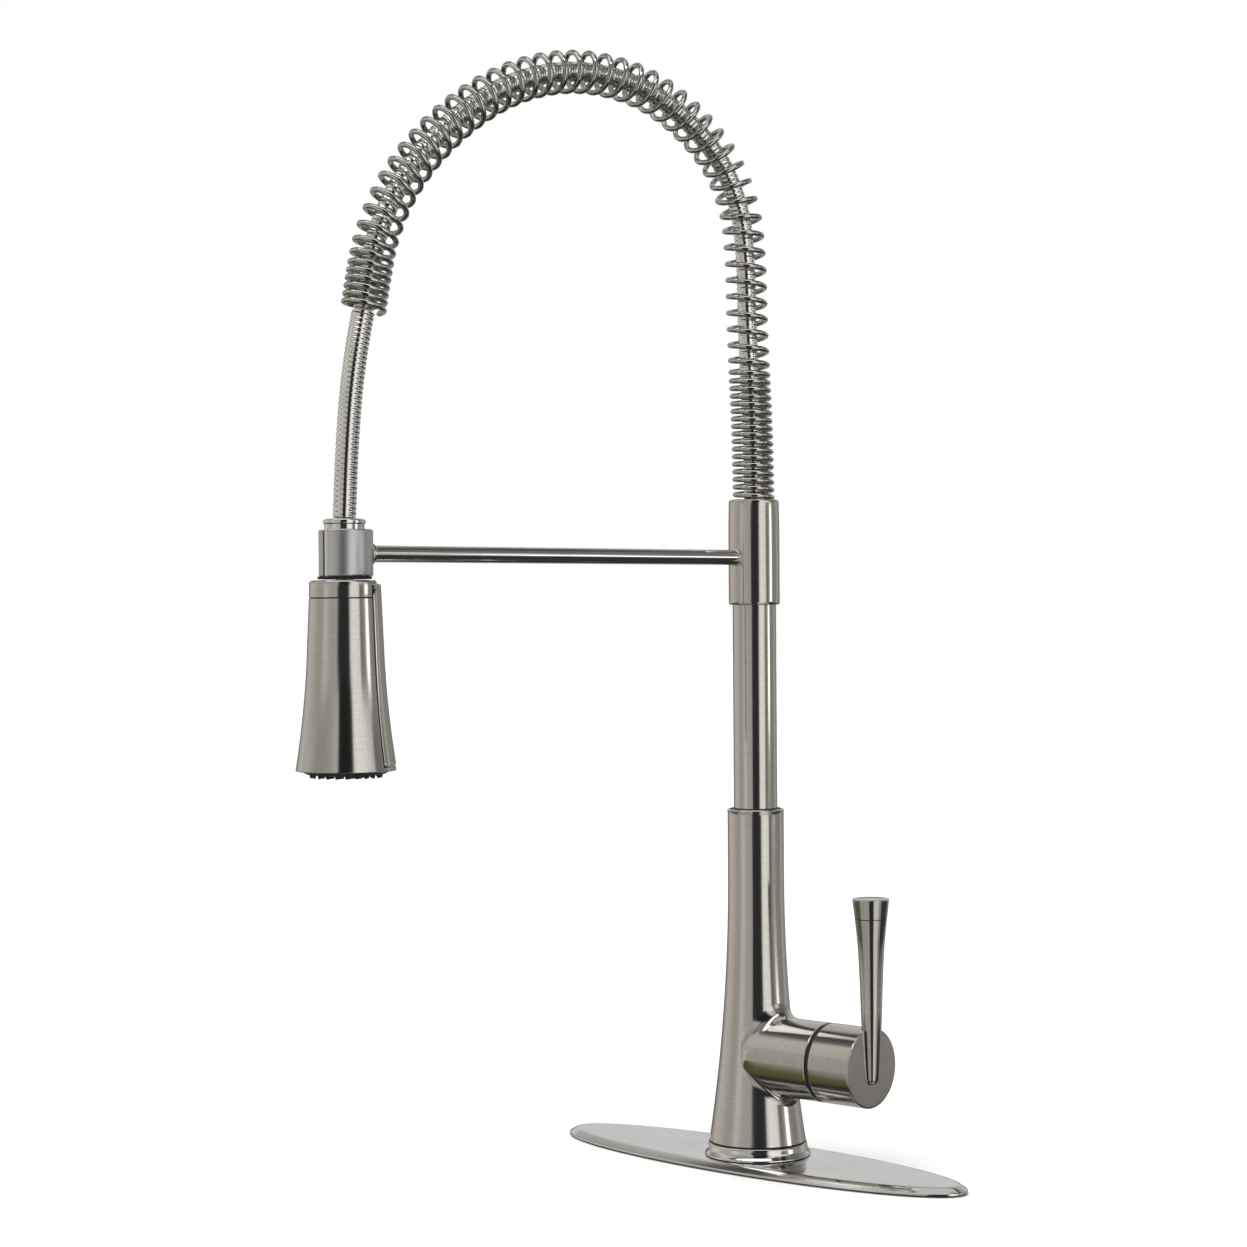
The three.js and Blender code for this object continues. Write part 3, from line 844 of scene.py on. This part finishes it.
def makeSpring():
    look = springLook
    step = 0.25
    line, long = splined(archPoints, step)
    count = len(line)
    middleRadius = look["outer"] - look["wire"]
    # angle of the wire at each step along the axis
    angles = [0.0]
    for i in range(1, count):
        angles.append(angles[-1] + turn * (long / (count - 1)) / pitchAt(long * i / (count - 1), long))
    centre = []
    wanted = int(angles[-1] / turn * look["perTurn"])
    j = 0
    for k in range(wanted + 1):
        want = angles[-1] * k / wanted
        while j < count - 2 and angles[j + 1] < want:
            j += 1
        share = (want - angles[j]) / (angles[j + 1] - angles[j])
        p = line[j].lerp(line[j + 1], share)
        ahead = (line[min(j + 2, count - 1)] - line[max(j - 1, 0)]).normalized()
        across = Vector((-ahead.y, ahead.x))  # in the spout's plane
        flat = p + across * (middleRadius * math.cos(want))
        centre.append(spoutPoint(flat.x, flat.y) + sideways * (middleRadius * math.sin(want) * mm))
    rows = []
    sides = look["sides"]
    total = len(centre)
    for i, here in enumerate(centre):
        ahead = (centre[min(i + 1, total - 1)] - centre[max(i - 1, 0)]).normalized()
        before = here - centre[max(i - 1, 0)]
        after = centre[min(i + 1, total - 1)] - here
        bend = (after - before) if 0 < i < total - 1 else centre[min(i + 2, total - 1)] - here
        inward = (bend - ahead * bend.dot(ahead)).normalized()
        other = ahead.cross(inward)
        angle = [turn * k / sides for k in range(sides)]
        thick = look["wire"] * mm
        rows.append([here + (inward * math.cos(a) + other * math.sin(a)) * thick for a in angle])
    points, faces = skinned(rows, False)
    piece("coilSpring", points, faces, wireSteel, "spout", ["coil_spring"], 60)


makeHoses()
makeSpring()
print("faucet: hoses and spring made")

# the neck's washer sizes are for the dark ring of painted shade under the dock
neckLook = {"radius": 9.3, "rim": 0.5, "bore": 4.6, "washer": 12.6, "washerBore": 5.2}
wandLook = {"width": 16.6, "taper": 0.0445, "flare": 0.0011, "flareTop": 268.0, "wall": 2.2, "segments": 160,
            "capBore": 8.2, "seamBore": 12}
paddleLook = {"width": 62.0, "side": 2.3, "thick": 3.0, "proud": 0.35}


def wandRadius(z):
    seam = spanMm("wand_cap")[0].z
    return (wandLook["width"] + wandLook["taper"] * (seam - z)
            + wandLook["flare"] * max(0.0, wandLook["flareTop"] - z) ** 2)


paddleAxis = middle("paddle_pin") - Vector((wandAxis.x, wandAxis.y, 0))
paddleFacing = math.atan2(paddleAxis.y, paddleAxis.x)


def makeNeck():
    low, high = spanMm("neck_collar")
    radius, bore = neckLook["radius"], neckLook["bore"]
    rim = radius + neckLook["rim"]
    lathe("neckCollar", [(bore, low.z), (radius, low.z, 0.3), (radius, high.z - 2.6),
                         (rim, high.z - 2.2, 0.3), (rim, high.z - 0.5, 0.5), (radius - 0.7, high.z, 0.4),
                         (6.3, high.z, 0.3), (6.0, high.z - 1.6), (bore, high.z - 1.6)],
          brightSteel, "neck", ["neck_collar"], place=wandPlace)
    # a dark ring of painted shade fills the gap between the dock and the spray head, standing in for the
    # shadow there
    bottom, top = spanMm("wand_cap")[1].z + 0.15, spanMm("dock_clip")[0].z - 0.15
    lathe("neckGapShade", tube(neckLook["washer"], neckLook["washerBore"], bottom, top, 0.3), blackRubber,
          "neck", place=wandPlace)


def makeSprayHead():
    low, high = spanMm("wand_shell")
    seam, capTop = (v.z for v in spanMm("wand_cap"))
    rim = low.z
    slotFoot = spanMm("spray_paddle")[0].z - 0.6
    gap = math.radians(paddleLook["width"] / 2 + paddleLook["side"])
    first, last = paddleFacing + gap, paddleFacing + turn - gap
    wall, bore = wandLook["wall"], wandLook["capBore"]
    outside = between(slotFoot, high.z, 60, wandRadius)
    inside = between(slotFoot, high.z, 20, lambda z: wandRadius(z) - wall)[::-1]
    points, faces = arcBand(outside + inside, first, last, 140, wandPlace)
    piece("wandShell", points, faces, bodySteel, "sprayhead", ["wand_shell"], 40)
    foot = wandRadius(rim)
    lathe("wandRim", [(foot - wall, rim + 0.2), (foot - 0.5, rim, 0.3), (foot - 0.02, rim + 0.35, 0.3)]
          + between(rim + 0.8, slotFoot, 4, wandRadius) + [(wandRadius(slotFoot) - wall, slotFoot)],
          bodySteel, "sprayhead", place=wandPlace, segments=wandLook["segments"])
    wide = wandRadius(seam)
    points, faces = arcBand([(bore, seam + 0.25), (wide, seam + 0.25, 0.15), (wide - 0.15, capTop - 1.1, 0.5),
                             (wide - 0.9, capTop - 0.35, 0.5), (bore, capTop - 0.35)],
                            first, last, 130, wandPlace)
    piece("wandCap", points, faces, bodySteel, "sprayhead", ["wand_cap"], 40)
    core = [(4.8, seam + 0.3), (9.1, seam + 0.3), (9.1, capTop - 0.4, 0.3), (4.8, capTop - 0.4)]
    lathe("wandCapCore", core, darkPlastic, "sprayhead", place=wandPlace)
    points, faces = arcBand(tube(wide - 0.4, wandLook["seamBore"], seam - 1, seam + 0.8, 0),
                            first, last, 130, wandPlace)
    piece("wandSeam", points, faces, blackRubber, "sprayhead")


def makePaddle():
    low, high = spanMm("spray_paddle")
    half = math.radians(paddleLook["width"] / 2)
    proud = paddleLook["proud"]
    across, tall = 36, 90
    thick = paddleLook["thick"]

    def halfAt(z):
        # the upper end is rounded like a thumb nail
        near = (high.z - z) / 7.0
        return half if near >= 1 else half * math.sqrt(max(0.0, 1 - (1 - near) ** 2))
    outer, inner = [], []
    heights = [low.z + (high.z - low.z) * (1 - (1 - k / tall) ** 1.6) for k in range(tall + 1)]
    for z in heights:
        size = max(halfAt(z), 0.004)
        for k in range(across + 1):
            share = 2 * k / across - 1
            a = paddleFacing + size * share
            edge = 1 - max(0.0, abs(share) - 0.86) / 0.14
            rise = proud * math.sqrt(max(0.0, 1 - (1 - edge) ** 2))
            endFade = min(1.0, (z - low.z) / 0.8, (high.z - z) / 0.8)
            r = wandRadius(z) + rise * max(0.0, endFade) - 0.02
            outer.append(wandPlace(r * mm * math.cos(a), r * mm * math.sin(a), z * mm))
            r = wandRadius(z) - thick
            inner.append(wandPlace(r * mm * math.cos(a), r * mm * math.sin(a), z * mm))
    points = outer + inner
    row = across + 1
    faces = []
    shift = len(outer)
    for i in range(tall):
        for k in range(across):
            a = i * row + k
            faces.append([a, a + 1, a + row + 1, a + row])
            faces.append([shift + a, shift + a + row, shift + a + row + 1, shift + a + 1])
    for i in range(tall):
        for k in (0, across):
            a = i * row + k
            faces.append([a, a + row, shift + a + row, shift + a])
    for i in (0, tall):
        for k in range(across):
            a = i * row + k
            faces.append([a, shift + a, shift + a + 1, a + 1])
    piece("sprayPaddle", points, faces, bodySteel, "paddle", ["spray_paddle"], 40)


sprayLook = {"rings": [(4, 5), (8.2, 10), (12.2, 16), (16.2, 22)], "nub": 0.95, "drop": 1.3, "sides": 12}


def makeSprayFace():
    rim = spanMm("wand_shell")[0].z
    size, drop = sprayLook["nub"], sprayLook["drop"]
    face = spanMm("spray_nozzles")[0].z + drop
    lathe("sprayFace", [(0, face - 0.25), (6.5, face - 0.2), (17.2, face + 0.25, 2.0), (19.9, rim - 0.6, 1.4),
                        (20.3, rim + 1.4, 0.3), (0, rim + 1.4)],
          blackRubber, "sprayhead", ["spray_nozzles", "spray_plate"], place=wandPlace)
    points, faces = [], []
    for radius, count in sprayLook["rings"]:
        for k in range(count):
            a = turn * (k + 0.5) / count
            x, y = radius * math.cos(a), radius * math.sin(a)
            foot = face + 0.25 * (radius / 17) ** 2
            tip = foot - drop
            outline = eased([(0, tip + 0.5), (size * 0.4, tip + 0.5, 0.1), (size * 0.5, tip, 0.12),
                             (size * 0.75, tip, 0.15), (size, foot + 0.3), (0, foot + 0.3)], False, 2)
            made, sides = rings([(p.x * mm, p.y * mm) for p in outline], False, sprayLook["sides"],
                                lambda u, v, h, x=x, y=y: wandPlace(x * mm + u, y * mm + v, h))
            start = len(points)
            points += made
            faces += [[start + c for c in f] for f in sides]
    piece("sprayNubs", points, faces, blackRubber, "sprayhead")


makeNeck()
makeSprayHead()
makePaddle()
makeSprayFace()
print("faucet: neck and spray head made")

threadLook = {"pitch": 2.0, "depth": 0.7, "sides": 72, "perPitch": 6, "bore": 14}
nutLook = {"bore": 16.2, "washerBore": 16.3, "sides": 96, "chamfer": 1.4}


def makeShank():
    low, high = spanMm("mounting_shank")
    radius = (high.x - low.x) / 2
    pitch, depth, sides, bore = (threadLook[k] for k in ("pitch", "depth", "sides", "bore"))
    count = int((high.z - low.z) / pitch * threadLook["perPitch"])
    rows = []
    for i in range(count + 1):
        z = low.z + (high.z - low.z) * i / count
        row = []
        for k in range(sides):
            a = turn * k / sides
            groove = abs(2 * ((z / pitch - k / sides) % 1.0) - 1)
            fade = min(1.0, (z - low.z) / 2.0, max(0.0, -2 - z) / 2.0)
            r = radius - depth * groove * max(0.0, fade)
            row.append(Vector((r * math.cos(a), r * math.sin(a), z)) * mm)
        rows.append(row)
    rows += [oval(bore, bore, high.z, sides), oval(bore, bore, low.z, sides)]
    points, faces = skinned(rows, True)
    piece("mountingShank", points, faces, brass, "base", ["mounting_shank"], 50)


def makeNut():
    low, high = spanMm("mounting_nut")
    size = (high.y - low.y) / 2
    bore, sides, chamfer = (nutLook[k] for k in ("bore", "sides", "chamfer"))

    def hexAt(a):
        flat = size * math.cos(math.pi / 6)
        inSide = (a + math.pi / 6) % (math.pi / 3) - math.pi / 6
        return min(flat / math.cos(inSide), size * 0.975)
    rows = [oval(bore, bore, low.z, sides)]
    for z, cut in ((low.z, chamfer), (low.z + 0.8, 0.0), (high.z - 0.8, 0.0), (high.z, chamfer)):
        row = []
        for k in range(sides):
            a = turn * k / sides
            r = min(hexAt(a - math.pi / 2), size - 0.4 - cut)
            row.append(Vector((r * math.cos(a), r * math.sin(a), z)) * mm)
        rows.append(row)
    rows.append(oval(bore, bore, high.z, sides))
    points, faces = skinned(rows, True)
    piece("mountingNut", points, faces, brass, "base", ["mounting_nut"], 24)


def makeSmallHardware():
    for name, node, finish in (("clampRubber", "clamp_rubber_washer", blackRubber),
                               ("clampWasher", "clamp_steel_washer", zinc)):
        low, high = spanMm(node)
        washer = tube((high.x - low.x) / 2, nutLook["washerBore"], low.z, high.z, 0.3)
        lathe(name, washer, finish, "base", [node])
    for name, node in (("nutScrewFront", "nut_screw_front"), ("nutScrewBack", "nut_screw_back")):
        low, high = spanMm(node)
        place = upright((low.x + high.x) / 2 * mm, (low.y + high.y) / 2 * mm)
        lathe(name, [(0, low.z + 1.2), (1.1, low.z + 1.2), (1.1, low.z), (2.9, low.z, 0.3),
                     (3.4, low.z + 1.0, 0.5), (3.4, low.z + 4.6, 0.4), (2.0, low.z + 4.6), (2.0, high.z),
                     (0, high.z)],
              zinc, "base", [node], place=place, segments=40, closed=False)
    for name, node in (("hotInlet", "hot_inlet"), ("coldInlet", "cold_inlet")):
        low, high = spanMm(node)
        place = upright((low.x + high.x) / 2 * mm, (low.y + high.y) / 2 * mm)
        lathe(name, [(2.4, low.z, 0.2), (3.8, low.z, 0.3), (4.0, low.z + 1), (4.0, low.z + 8, 0.3),
                     (3.5, low.z + 9, 0.3), (3.5, high.z, 0.2), (2.4, high.z)],
              brass, "base", [node], place=place, segments=40)


makeShank()
makeNut()
makeSmallHardware()
print("faucet: mounting hardware made")


def makeFloor():
    finish, sheet, inputs = newFinish("floorPale")
    cloud = noise(sheet, (6.0, 6.0, 6.0), 2.0, 0.5)
    pale = sheet.mixColours(cloud, rgba((0.93, 0.93, 0.93)), rgba((0.96, 0.96, 0.955)))
    feed(sheet, inputs, pale, 0.7 + 0.1 * cloud)
    mesh = bpy.data.meshes.new("paleFloor")
    size = 14.0
    corners = [(-size, -size, 0), (size, -size, 0), (size, size, 0), (-size, size, 0)]
    mesh.from_pydata(corners, [], [[0, 1, 2, 3]])
    mesh.materials.append(finish)
    floor = bpy.data.objects.new("paleFloor", mesh)
    bpy.context.scene.collection.objects.link(floor)
    floor.visible_glossy = False  # the metal mirrors the studio's walls and not an endless floor


viewLook = {"focal": 2711.6, "frameSide": 1247.0, "azimuth": 42.03, "pitch": 0.22, "far": 1410.1,
            "beside": 68.1, "height": 286.1, "roll": -0.37, "sensor": 36.0}


def makeCamera():
    look = viewLook
    azimuth, pitch, roll = (math.radians(look[k]) for k in ("azimuth", "pitch", "roll"))
    right = Vector((math.cos(azimuth), math.sin(azimuth), 0))
    away = Vector((math.sin(azimuth), -math.cos(azimuth), 0))
    back = away * math.cos(pitch) + up * math.sin(pitch)
    top = back.cross(right)
    place = away * look["far"] - right * look["beside"] + up * look["height"]
    leaned = right * math.cos(roll) + top * math.sin(roll)
    leanedTop = top * math.cos(roll) - right * math.sin(roll)
    data = bpy.data.cameras.new("studioCamera")
    data.sensor_width = look["sensor"]
    data.lens = look["sensor"] * look["focal"] / look["frameSide"]
    data.clip_end = 100
    camera = bpy.data.objects.new("studioCamera", data)
    bpy.context.scene.collection.objects.link(camera)
    turned = Matrix((leaned, leanedTop, back)).transposed().to_4x4()
    turned.translation = place * mm
    camera.matrix_world = turned
    bpy.context.scene.camera = camera


# each wall's bearing, in degrees to the right of the camera's side, and its brightness or colour
levelWalls = [
    (-180, 0.20), (-158, 0.16), (-146, (0.40, 0.39, 0.385)), (-128, (0.66, 0.62, 0.57)),
    (-104, (0.58, 0.55, 0.50)), (-87, (0.46, 0.44, 0.40)), (-71, (0.47, 0.45, 0.41)),
    (-60, (0.68, 0.66, 0.63)), (-52, (0.66, 0.64, 0.61)), (-44, (0.52, 0.51, 0.48)),
    (-31, (0.47, 0.47, 0.45)), (-19, (0.46, 0.46, 0.45)), (-16, (0.035, 0.035, 0.038)),
    (18, (0.035, 0.035, 0.038)), (21, (0.85, 0.84, 0.82)), (28, (1.10, 1.08, 1.05)),
    (50, (1.0, 0.98, 0.95)), (54, (0.20, 0.19, 0.175)), (60, (0.19, 0.18, 0.165)), (70, (0.44, 0.43, 0.40)),
    (86, (0.33, 0.32, 0.30)), (108, (0.29, 0.28, 0.27)), (124, (0.52, 0.51, 0.49)),
    (134, (0.36, 0.355, 0.345)), (156, (0.26, 0.26, 0.255)), (180, 0.20)]
upperWalls = [
    (-180, 0.64), (-150, 0.64), (-135, (0.30, 0.29, 0.28)), (-112, (0.46, 0.44, 0.41)),
    (-102, (0.62, 0.59, 0.54)), (-89, (0.54, 0.52, 0.48)), (-68, (0.38, 0.37, 0.345)),
    (-48, (0.39, 0.38, 0.36)), (-30, (0.48, 0.47, 0.44)), (-15, (0.60, 0.59, 0.56)),
    (-11, (0.02, 0.02, 0.021)), (22, (0.018, 0.018, 0.02)), (25, (0.85, 0.84, 0.82)),
    (31, (1.15, 1.12, 1.08)), (56, (1.0, 0.98, 0.95)), (76, (0.66, 0.65, 0.63)), (80, 0.17), (120, 0.28),
    (140, 0.45), (150, 0.64), (180, 0.64)]
highWalls = [
    (-180, (0.62, 0.62, 0.61)), (-150, (0.45, 0.44, 0.43)), (-135, (0.26, 0.25, 0.24)),
    (-112, (0.46, 0.44, 0.41)), (-98, (0.66, 0.63, 0.58)), (-84, (0.60, 0.575, 0.54)),
    (-40, (0.30, 0.30, 0.29)), (-17, (0.30, 0.30, 0.29)), (-12, (0.02, 0.02, 0.021)),
    (19, (0.018, 0.018, 0.02)), (24, (0.75, 0.74, 0.72)), (50, (0.60, 0.59, 0.57)), (58, 0.16), (110, 0.18),
    (150, (0.45, 0.45, 0.44)), (180, (0.62, 0.62, 0.61))]
lowerWalls = [
    (-180, (0.40, 0.40, 0.39)), (-150, (0.25, 0.24, 0.22)), (-128, (0.07, 0.065, 0.05)),
    (-112, (0.10, 0.10, 0.045)), (-98, (0.105, 0.115, 0.040)), (-84, (0.11, 0.12, 0.042)),
    (-81, (0.38, 0.375, 0.35)), (-20, (0.44, 0.44, 0.42)), (-14, (0.03, 0.03, 0.032)),
    (12, (0.03, 0.03, 0.032)), (18, (0.80, 0.79, 0.77)), (44, (0.75, 0.74, 0.72)), (56, (0.36, 0.36, 0.35)),
    (66, (0.30, 0.30, 0.29)), (72, (0.035, 0.035, 0.036)), (140, 0.05), (156, (0.30, 0.30, 0.29)),
    (180, (0.40, 0.40, 0.39))]
studioLook = {"cameraSide": -48.0, "strength": 1.0, "ceiling": (0.07, 0.07, 0.07),
              "zenith": (0.60, 0.60, 0.59), "ground": (0.04, 0.038, 0.035), "strip": (2.2, 2.2, 2.2)}


def heightOf(degrees):
    return math.sin(math.radians(degrees))


def makeStudio():
    world = bpy.data.worlds.new("studioWalls")
    bpy.context.scene.world = world
    world.use_nodes = True
    sheet = Sheet(world.node_tree)
    way = sheet.add("ShaderNodeTexCoord").out("Generated")
    parts = sheet.add("ShaderNodeSeparateXYZ", None, {0: way})
    x, y, z = parts.out(0), parts.out(1), parts.out(2)
    side = math.radians(studioLook["cameraSide"])
    ahead = x * math.cos(side) + y * math.sin(side)
    rightward = y * math.cos(side) - x * math.sin(side)
    bearing = sheet.add("ShaderNodeMath", {"operation": "ARCTAN2"}, {0: rightward, 1: ahead}).out(0)
    share = bearing / turn + 0.5
    level, upper, high, lower = (
        sheet.add("ShaderNodeValToRGB", {"stops": [((b + 180) / 360, c) for b, c in walls]},
                  {0: share}).out(0)
        for walls in (levelWalls, upperWalls, highWalls, lowerWalls))

    def above(first, last):
        return sheet.smooth(z, heightOf(first), heightOf(last))

    def inBearing(low, top):
        return sheet.smooth(bearing, math.radians(low - 1), math.radians(low + 1)) \
            * (1 - sheet.smooth(bearing, math.radians(top - 1), math.radians(top + 1)))
    shade = sheet.mixColours(above(6, 8), level, upper)
    shade = sheet.mixColours(above(19, 23), shade, high)
    shade = sheet.mixColours(above(44, 50), shade, rgba(studioLook["ceiling"]))
    shade = sheet.mixColours(above(70, 76), shade, rgba(studioLook["zenith"]))
    behind = (1 - inBearing(-130, 130)) * above(52, 60)
    shade = sheet.mixColours(behind, shade, rgba(studioLook["zenith"]))
    shade = sheet.mixColours(1 - above(-12, -10.8), shade, lower)
    shade = sheet.mixColours(1 - above(-44, -36), shade, rgba(studioLook["ground"]))
    # a long tube light overhead, and a small one beside the bar
    overhead = above(52, 54) * (1 - above(64, 67)) * inBearing(-110, 60)
    beside = above(-3, -2) * (1 - above(5, 6)) * inBearing(73, 84)
    shade = sheet.mixColours(overhead, shade, rgba(studioLook["strip"]))
    shade = sheet.mixColours(beside, shade, rgba(studioLook["strip"]))
    glow = sheet.add("ShaderNodeBackground", None, {0: shade, 1: studioLook["strength"]}).out(0)
    plain = sheet.add("ShaderNodeBackground", None, {0: rgba((1, 1, 1)), 1: 1.0}).out(0)
    seen = sheet.add("ShaderNodeLightPath").out("Is Camera Ray")
    both = sheet.add("ShaderNodeMixShader", None, {0: seen, 1: glow, 2: plain}).out(0)
    sheet.add("ShaderNodeOutputWorld", None, {0: both})


def makeSun(name, place, power, spread):
    # a wide sun lights the floor evenly and throws no hard shadow
    data = bpy.data.lights.new(name, "SUN")
    data.energy = power
    data.angle = math.radians(spread)
    lamp = bpy.data.objects.new(name, data)
    lamp.rotation_euler = (-Vector(place)).to_track_quat("-Z", "Y").to_euler()
    lamp.visible_glossy = False
    bpy.context.scene.collection.objects.link(lamp)


makeFloor()
makeCamera()
makeStudio()
makeSun("ceilingSun", (0.5, -0.7, 2.4), 2.6, 100)
bpy.context.scene.view_settings.view_transform = "Standard"
print("faucet: floor, light and camera made")
